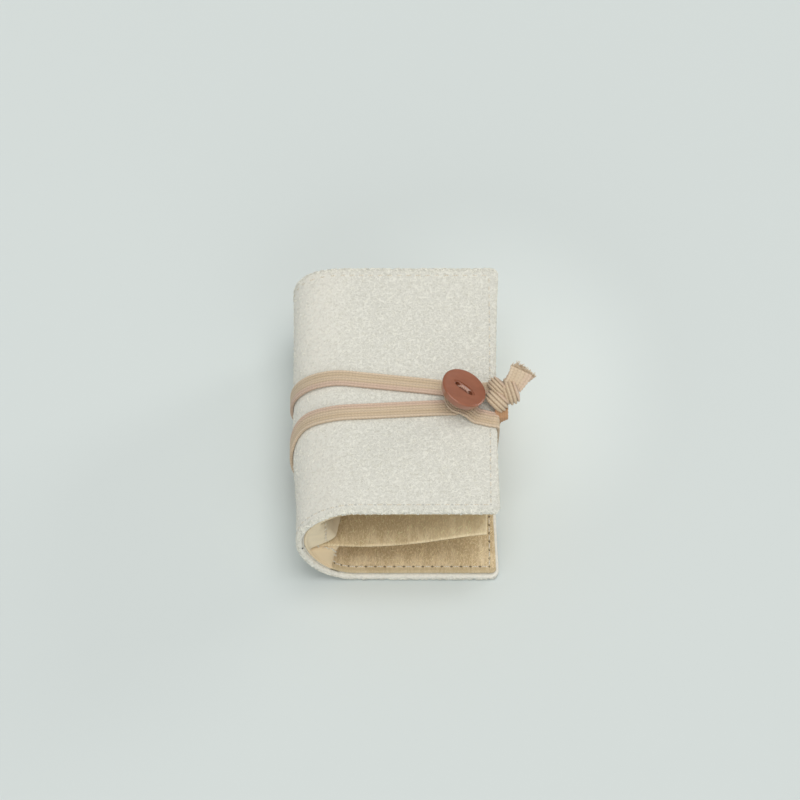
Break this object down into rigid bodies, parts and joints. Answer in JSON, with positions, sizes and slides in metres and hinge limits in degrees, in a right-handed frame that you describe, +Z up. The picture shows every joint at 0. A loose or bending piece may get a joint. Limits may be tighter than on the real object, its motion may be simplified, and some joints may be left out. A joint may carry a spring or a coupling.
{
  "type": "needle book",
  "caption": "Folded cloth needle book with a wide round spine, a felt leaf inside, a sewn-on button and a knotted elastic that goes round it and hooks on the button.",
  "frame": {"origin": "middle of the closed book's width and length, on the flat underside of the back cover that it lies on", "axes": "+X from the spine to the fore-edge, +Y from the tail to the head along the spine, +Z up through the closed covers"},
  "size_m": [0.0737, 0.09, 0.0528],
  "materials": {
    "outer_cloth": "off-white boucle wool cloth, soft and knotty",
    "interlining": "thin pressed white felt",
    "lining": "tan brushed felt cloth",
    "spine_lining": "pale beige smooth cotton",
    "felt": "tan wool felt, fuzzy",
    "seam_thread": "cream sewing thread",
    "elastic": "beige ribbed elastic braid",
    "button": "satin red-brown",
    "button_thread": "pinkish beige thick thread"
  },
  "bodies": {
    "back": {"back_cover": "outer_cloth", "back_interlining": "interlining", "back_lining": "lining", "back_inner_seam": "seam_thread", "back_outer_seam_tail": "seam_thread", "back_outer_seam_head": "seam_thread"},
    "spine_1": {"spine_cover_1": "outer_cloth", "spine_interlining_1": "interlining", "spine_lining_1": "spine_lining"},
    "spine_2": {"spine_cover_2": "outer_cloth", "spine_interlining_2": "interlining", "spine_lining_2": "spine_lining"},
    "spine_3": {"spine_cover_3": "outer_cloth", "spine_interlining_3": "interlining", "spine_lining_3": "spine_lining"},
    "spine_4": {"spine_cover_4": "outer_cloth", "spine_interlining_4": "interlining", "spine_lining_4": "spine_lining"},
    "spine_5": {"spine_cover_5": "outer_cloth", "spine_interlining_5": "interlining", "spine_lining_5": "spine_lining"},
    "front": {"front_cover": "outer_cloth", "front_interlining": "interlining", "front_lining": "lining", "front_inner_seam": "seam_thread", "front_outer_seam": "seam_thread", "button": "button", "button_thread": "button_thread"},
    "leaf": {"felt_leaf": "felt"},
    "elastic": {"elastic_band": "elastic", "elastic_knot": "elastic", "elastic_end_upper": "elastic", "elastic_end_lower": "elastic"}
  },
  "joints": [
    {"name": "book_open", "type": "hinge", "parent": "back", "child": "spine_1", "pos_m": [-0.0125, 0, 0], "axis": [0, -1, 0], "range_deg": [0, 16.5], "deforming": ["elastic_band", "elastic_knot", "elastic_end_upper", "elastic_end_lower"]},
    {"name": "spine_bend_1", "type": "hinge", "parent": "spine_1", "child": "spine_2", "pos_m": [-0.02426, 0, 0.00382], "axis": [0, -1, 0], "range_deg": [0, 33]},
    {"name": "spine_bend_2", "type": "hinge", "parent": "spine_2", "child": "spine_3", "pos_m": [-0.03152, 0, 0.01382], "axis": [0, -1, 0], "range_deg": [0, 33]},
    {"name": "spine_bend_3", "type": "hinge", "parent": "spine_3", "child": "spine_4", "pos_m": [-0.03152, 0, 0.02618], "axis": [0, -1, 0], "range_deg": [0, 33]},
    {"name": "spine_bend_4", "type": "hinge", "parent": "spine_4", "child": "spine_5", "pos_m": [-0.02426, 0, 0.03618], "axis": [0, -1, 0], "range_deg": [0, 33]},
    {"name": "front_turn", "type": "hinge", "parent": "spine_5", "child": "front", "pos_m": [-0.0125, 0, 0.04], "axis": [0, -1, 0], "range_deg": [0, 16.5]},
    {"name": "leaf_turn", "type": "hinge", "parent": "spine_3", "child": "leaf", "pos_m": [-0.02746, 0, 0.0172], "axis": [0, -1, 0], "range_deg": [-76.6, 0]},
    {"name": "elastic_slide", "type": "slide", "parent": "back", "child": "elastic", "axis": [0, -1, 0], "range_m": [0, 0.0752]}
  ],
  "couplings": [
    {"joint": "spine_bend_1", "follows": "book_open", "ratio": 2},
    {"joint": "spine_bend_2", "follows": "book_open", "ratio": 2},
    {"joint": "spine_bend_3", "follows": "book_open", "ratio": 2},
    {"joint": "spine_bend_4", "follows": "book_open", "ratio": 2},
    {"joint": "front_turn", "follows": "book_open", "ratio": 1},
    {"joint": "leaf_turn", "follows": "book_open", "ratio": -4.6364},
    {"joint": "elastic_slide", "follows": "book_open", "m_per_rad": 0.26044}
  ]
}
